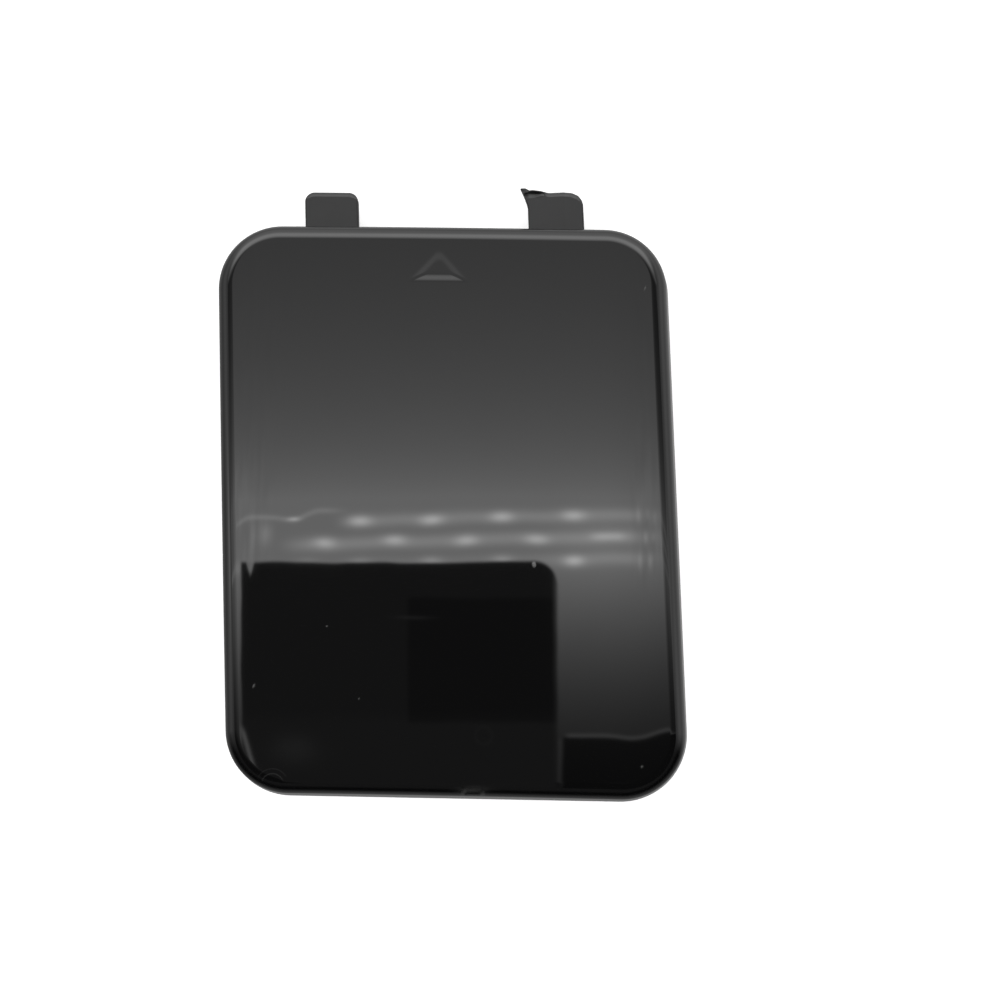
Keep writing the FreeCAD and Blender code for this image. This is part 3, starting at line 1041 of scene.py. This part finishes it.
def satin_material():
    """Moulded black with a fine eroded grain, on the back and the tongues."""
    mat, tree, bsdf, place = plastic("satin_black_back", 1.46)
    cloud = noise(tree, place, 130, 3.0)
    flow = noise(tree, place, 60, 2.0, (1, 0.25, 1), 0.2)
    grain = noise(tree, place, 2600, 3.0)
    scuff = noise(tree, place, 300, 3.0, (1, 0.06, 1), -0.4).step(0.6, 0.75)
    pale = (cloud * 0.8 + scuff * 0.3).least(1.0)
    colour = mix(tree, pale, (0.0035, 0.0035, 0.0036), (0.0115, 0.0115, 0.0117))
    rough = cloud * 0.10 + flow * 0.08 + 0.27 - scuff * 0.05
    finish(tree, bsdf, colour, rough, grain * 1.6e-6 + flow * 1.2e-5 - scuff * 4e-7)
    return mat


def torn_material():
    """Raw torn plastic: matt, fibrous, and paler at its ridges."""
    mat, tree, bsdf, place = plastic("torn_black", 1.5)
    fibre = noise(tree, place, 900, 4.0, (1, 0.3, 1), 0.3)
    lump = noise(tree, place, 350, 3.0)
    colour = mix(tree, fibre.step(0.35, 0.75), (0.008, 0.008, 0.0083), (0.05, 0.05, 0.049))
    finish(tree, bsdf, colour, lump * 0.25 + 0.42, fibre * 3e-5 + lump * 6e-5)
    return mat


# Stage, light and camera

def make_camera():
    """The photograph's camera, above the cover and slightly towards its bottom edge."""
    data = bpy.data.cameras.new("camera")
    cam = link("camera", data)
    data.sensor_fit = "HORIZONTAL"
    data.sensor_width = 36.0
    data.lens = FOCAL / FRAME * data.sensor_width
    data.clip_start = 0.01
    turn = Matrix.Identity(3)
    for degrees, axis in zip(CAMERA_TURNS, "ZYX"):
        turn = turn @ Matrix.Rotation(math.radians(degrees), 3, axis)
    place = (Vector(CAMERA_PLACE) - Vector((0, SHIFT_Y, 0))) * MM
    cam.matrix_world = Matrix.Translation(place) @ turn.to_4x4()
    bpy.context.scene.camera = cam


def plane(name, low, high):
    """Flat rectangle that faces up."""
    mesh = bpy.data.meshes.new(name)
    (x0, y0), (x1, y1) = low, high
    mesh.from_pydata([(x0, y0, 0), (x1, y0, 0), (x1, y1, 0), (x0, y1, 0)], [], [(0, 1, 2, 3)])
    obj = link(name, mesh)
    return obj


# Lamps of the ceiling light, in millimetres on its plane: middle, half sizes, brightness
LAMPS = [
    (-62.8, 29.4, 6.2, 2.7, 4.0), (-24.4, 30.0, 6.0, 2.7, 4.1), (12.9, 31.0, 6.0, 2.7, 4.0),
    (51.4, 31.9, 6.0, 2.7, 3.9), (-81.8, 18.2, 5.8, 2.7, 3.7), (-43.9, 18.9, 6.2, 2.7, 3.7),
    (-6.0, 18.2, 6.2, 2.7, 3.7), (31.3, 18.8, 6.2, 2.7, 3.6), (64.5, 20.6, 4.6, 2.3, 1.9),
    (69.8, 20.6, 4.6, 2.3, 1.8), (75.5, 20.5, 4.4, 2.3, 1.9), (51.4, 8.0, 5.4, 2.7, 4.4),
    (-91.0, 6.9, 6.0, 2.7, 1.3), (-62.8, 7.0, 6.0, 2.7, 1.6), (-24.4, 7.5, 5.6, 2.7, 2.1),
    (12.9, 7.6, 5.6, 2.7, 2.3), (-99.4, 30.7, 3.4, 1.1, 3.8), (-115.0, 23.0, 3.4, 6.0, 1.3),
    (-122.5, 21.0, 1.6, 9.0, 0.8), (86.6, 32.5, 1.1, 4.0, 1.1), (91.3, 33.5, 0.9, 3.0, 0.6),
    (95.0, 31.0, 1.2, 4.0, 0.6), (90.1, 20.4, 1.2, 3.4, 1.4), (94.0, 20.8, 1.0, 3.0, 0.6),
    (86.8, 7.8, 1.3, 4.2, 1.1), (92.4, 7.8, 1.1, 3.6, 1.3), (100.6, 16.0, 1.3, 3.4, 3.4),
    (68.0, 20.0, 26.0, 13.0, 0.6),
]


def make_ceiling():
    """The light overhead as the gloss mirrors it: a panel, rows of lamps and a dark screen."""
    card = plane("ceiling_light", (-0.45, -0.45), (0.45, 0.26))
    turn = Matrix.Rotation(math.radians(-1.8), 4, "Z")
    card.matrix_world = Matrix.Translation((0, -SHIFT_Y * MM, 0.345)) @ turn
    card.visible_camera = card.visible_diffuse = card.visible_shadow = False
    card.visible_transmission = card.visible_volume_scatter = False
    mat, tree, glow = new_material("ceiling_light", "ShaderNodeEmission")
    mat.cycles.emission_sampling = "NONE"
    card.data.materials.append(mat)
    place = coordinates(tree)
    p, q, _ = axes(tree, place, MM)
    p = p + noise(tree, place, 24, 1.0) * 2.0 - 1.0
    q = q + noise(tree, place, 31, 1.0, (1, 0.6, 1)) * 2.6 - 1.3
    left, down = p * -1.0, q * -1.0

    # The panel fades upwards, downwards and to the sides
    away = q.most(26.2) * -1.0 + 26.2
    light = ((away * (1 / 65.8)).exp() * 2.3 + (away * (1 / 16.4)).exp() * 1.2).least(2.25)
    shade = left.step(140, 330) * 0.45 + p.step(110, 220) * 0.5 + p.step(66, 104) * 0.17
    light = light * (1.0 - shade) + 0.68 - (left.step(135, 175) + p.step(92, 140)) * 0.58
    under = 4.2 - q
    below = (under.most(0.0) * (1 / 45.5)).power(1.15) * -1.0
    light = light * below.exp() * (left.step(124, 130) * under.step(0, 60) * 0.5 + 1.0)
    light = light + q.step(190, 275) * 1.5
    ends = (left.step(106, 120) + p.step(78, 90)) * (1.0 - q.step(40, 90) * 0.8) * q.step(-10, 5)
    light = light * ((noise(tree, place, 330, 2.0, (1, 0.09, 1)) - 0.5) * ends * 0.55 + 1.0)

    # Rows of lamps, each joined by a faint streak, and a thin wavy line where the first row starts
    t = q - p * 0.0195
    rows = t.bell(30.8, 3.5) * (p.step(-80, -60) * 1.6) + t.bell(19.0, 3.6) * (p.step(-112, -88) * 1.75)
    rows = (rows + t.bell(7.4, 3.5) * (p.step(20, 60) * 0.8 + 0.8)) * (1.0 - p.step(80, 92) * 0.75)
    lamps = sum(p.bell(a, wide) * q.bell(b, high) * power for a, b, wide, high, power in LAMPS)
    wave = q - 32.6 + p.bell(-133, 5.0) * 4.6 + p.bell(-100.6, 8.6) * 2.0 - p.step(-99, -84) * 2.5
    line = wave.bell(0.0, 1.5) * (p.step(-136, -128) - p.step(-84, -66)) * 1.15

    # The dark screen, with a softer right edge, a notch in its top edge and faint forms inside
    top = (q + 4.8 + p.bell(-20.0, 70.0) * 1.5).most(0.0)
    rounding = distance((p - 29.5).most(0.0), top)
    screen = (1.0 - rounding.step(12.0, 14.4)) * (1.0 - p.step(39.0, 47.0)) * p.step(-129.0, -127.6)
    notch = ((q - 1.0) * 0.3 - (p + 123.2).node("ABSOLUTE")).step(-0.7, 0.5)
    screen = screen * (1.0 - notch * 0.75)
    block = p.step(-38.5, -35.5) * (1.0 - q.step(-14.0, -10.0)) * q.step(-80.0, -76.0)
    forms = 0.095 - block * 0.05 + down.step(70, 80) * 0.02
    forms = forms + p.bell(-34.0, 9.0) * q.bell(-22.6, 0.9) * 0.14
    forms = forms + distance(p - 3.2, q + 85.0).bell(4.6, 0.9) * 0.03
    forms = forms + p.bell(-99.0, 12.0) * q.bell(-93.0, 7.5) * 0.11
    forms = forms + (p + 131.0 + (q + 86.0) * 0.12).bell(0.0, 1.5) * q.bell(-87.0, 9.0) * 1.7

    # The lower right: a thin bright ledge over a second dark screen
    ledge = q + 85.2 + p.bell(82.0, 9.0) * 1.5 - p.step(88, 104) * 2.6
    under = ledge * -1.0
    light = light * (1.0 - under.step(-0.3, 1.9) * 0.84 * p.step(44.0, 47.0))
    light = light + ledge.bell(0.0, 1.25) * p.step(45, 50) * 0.42
    light = light + p.bell(43.8, 1.3) * under.step(0, 4) * 0.13
    light = light + p.bell(77, 11) * q.bell(-112.5, 1.0) * 0.12

    # Two bright slanted lines at the lower left
    streak = (p + 124.6 + (q + 94.0) * 0.3).bell(0.0, 1.3) * (q.step(-113, -104) - q.step(-86, -78))
    streak = streak * 1.2 + (p + 130.9 + (q + 86.0) * 0.12).bell(0.0, 1.4) * q.bell(-86.0, 9.0) * 1.4
    total = (light + rows + lamps + line) * (1.0 - screen) + forms * screen + streak
    tree.links.new(total.most(0.02).socket, glow.inputs["Strength"])


def make_floor():
    """Pale floor that glows a little, and is clear from below so that the underside shows."""
    floor = plane("floor", (-3.0, -3.0), (3.0, 3.0))
    floor.visible_glossy = False
    mat = bpy.data.materials.new("floor")
    mat.use_nodes = True
    mat.cycles.emission_sampling = "NONE"
    tree = mat.node_tree
    bsdf = tree.nodes["Principled BSDF"]
    place = coordinates(tree)
    shade = noise(tree, place, 6, 3.0) * 0.3 + noise(tree, place, 900, 2.0) * 0.3
    tree.links.new(mix(tree, shade, (0.93, 0.93, 0.93), (0.9, 0.9, 0.9)), bsdf.inputs["Base Color"])
    bsdf.inputs["Roughness"].default_value = 0.9
    bsdf.inputs["Emission Color"].default_value = (1, 1, 1, 1)
    bsdf.inputs["Emission Strength"].default_value = 0.55
    clear = tree.nodes.new("ShaderNodeBsdfTransparent")
    either = tree.nodes.new("ShaderNodeMixShader")
    back = tree.nodes.new("ShaderNodeNewGeometry").outputs["Backfacing"]
    for k, socket in enumerate((back, bsdf.outputs[0], clear.outputs[0])):
        tree.links.new(socket, either.inputs[k])
    tree.links.new(either.outputs[0], tree.nodes["Material Output"].inputs[0])
    floor.data.materials.append(mat)


def make_world():
    """Even white all round; the gloss sees darker walls, a strip light behind and a dark front."""
    world = bpy.data.worlds.new("studio")
    bpy.context.scene.world = world
    world.use_nodes = True
    tree = world.node_tree
    x, y, z = axes(tree, coordinates(tree, "Generated"))
    left, fore, down = x * -1.0, y * -1.0, z * -1.0
    rear = y * (y * y + z * z + 1e-6).power(-0.5)
    front = fore.step(0.0, 0.4)
    low = (1.0 - z).step(0.5, 1.0)

    # Above the horizon: walls, two windows, the strip light and a dark corner
    upper = z.bell(0.28, 0.25) * 0.45 + 0.5
    upper = upper + x.step(0.3, 0.8) * low * 0.35 + y.step(0.5, 0.95) * low * 0.6
    upper = upper + left.step(0.5, 0.8) * y.bell(0.09, 0.08) * z.bell(0.4, 0.12) * 1.1
    upper = upper + x.step(0.5, 0.8) * y.bell(0.04, 0.08) * z.bell(0.6, 0.15) * 0.7
    upper = upper - left.step(0.5, 0.8) * fore.step(0.0, 0.15) * z.bell(0.2, 0.3) * 0.35
    strip = rear.step(0.4, 0.7) * (1.0 - rear.step(0.8, 1.02))
    strip = strip * (1.0 - x.node("ABSOLUTE").step(0.5, 0.75))
    upper = (upper + strip * 3.0) * (1.0 - front) + front * z.step(0.1, 0.45) * 0.1

    # Below it: the pale floor, darker straight down and in front
    side = (x * 0.18 + y.most(0.0) * 0.2 + 0.55) * (1.0 - down.step(0.5, 1.0) * 0.45)
    lower = side * (1.0 - front) + front * down.step(0.02, 0.55) * 0.23
    above = z.step(-0.25, 0.05)
    seen = upper * above + lower * (1.0 - above)
    gloss = Sum(tree, tree.nodes.new("ShaderNodeLightPath").outputs["Is Glossy Ray"])
    strength = seen * gloss + (1.0 - gloss)
    background = tree.nodes["Background"]
    tree.links.new(strength.socket, background.inputs["Strength"])
    background.inputs["Color"].default_value = (1, 1, 1, 1)


MATERIALS = [gloss_material(), satin_material(), torn_material()]
cover = make_cover()
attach(cover, "root")
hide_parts("tow_hook_cover")
make_camera()
make_floor()
make_ceiling()
make_world()
bpy.context.scene.view_settings.view_transform = "Standard"
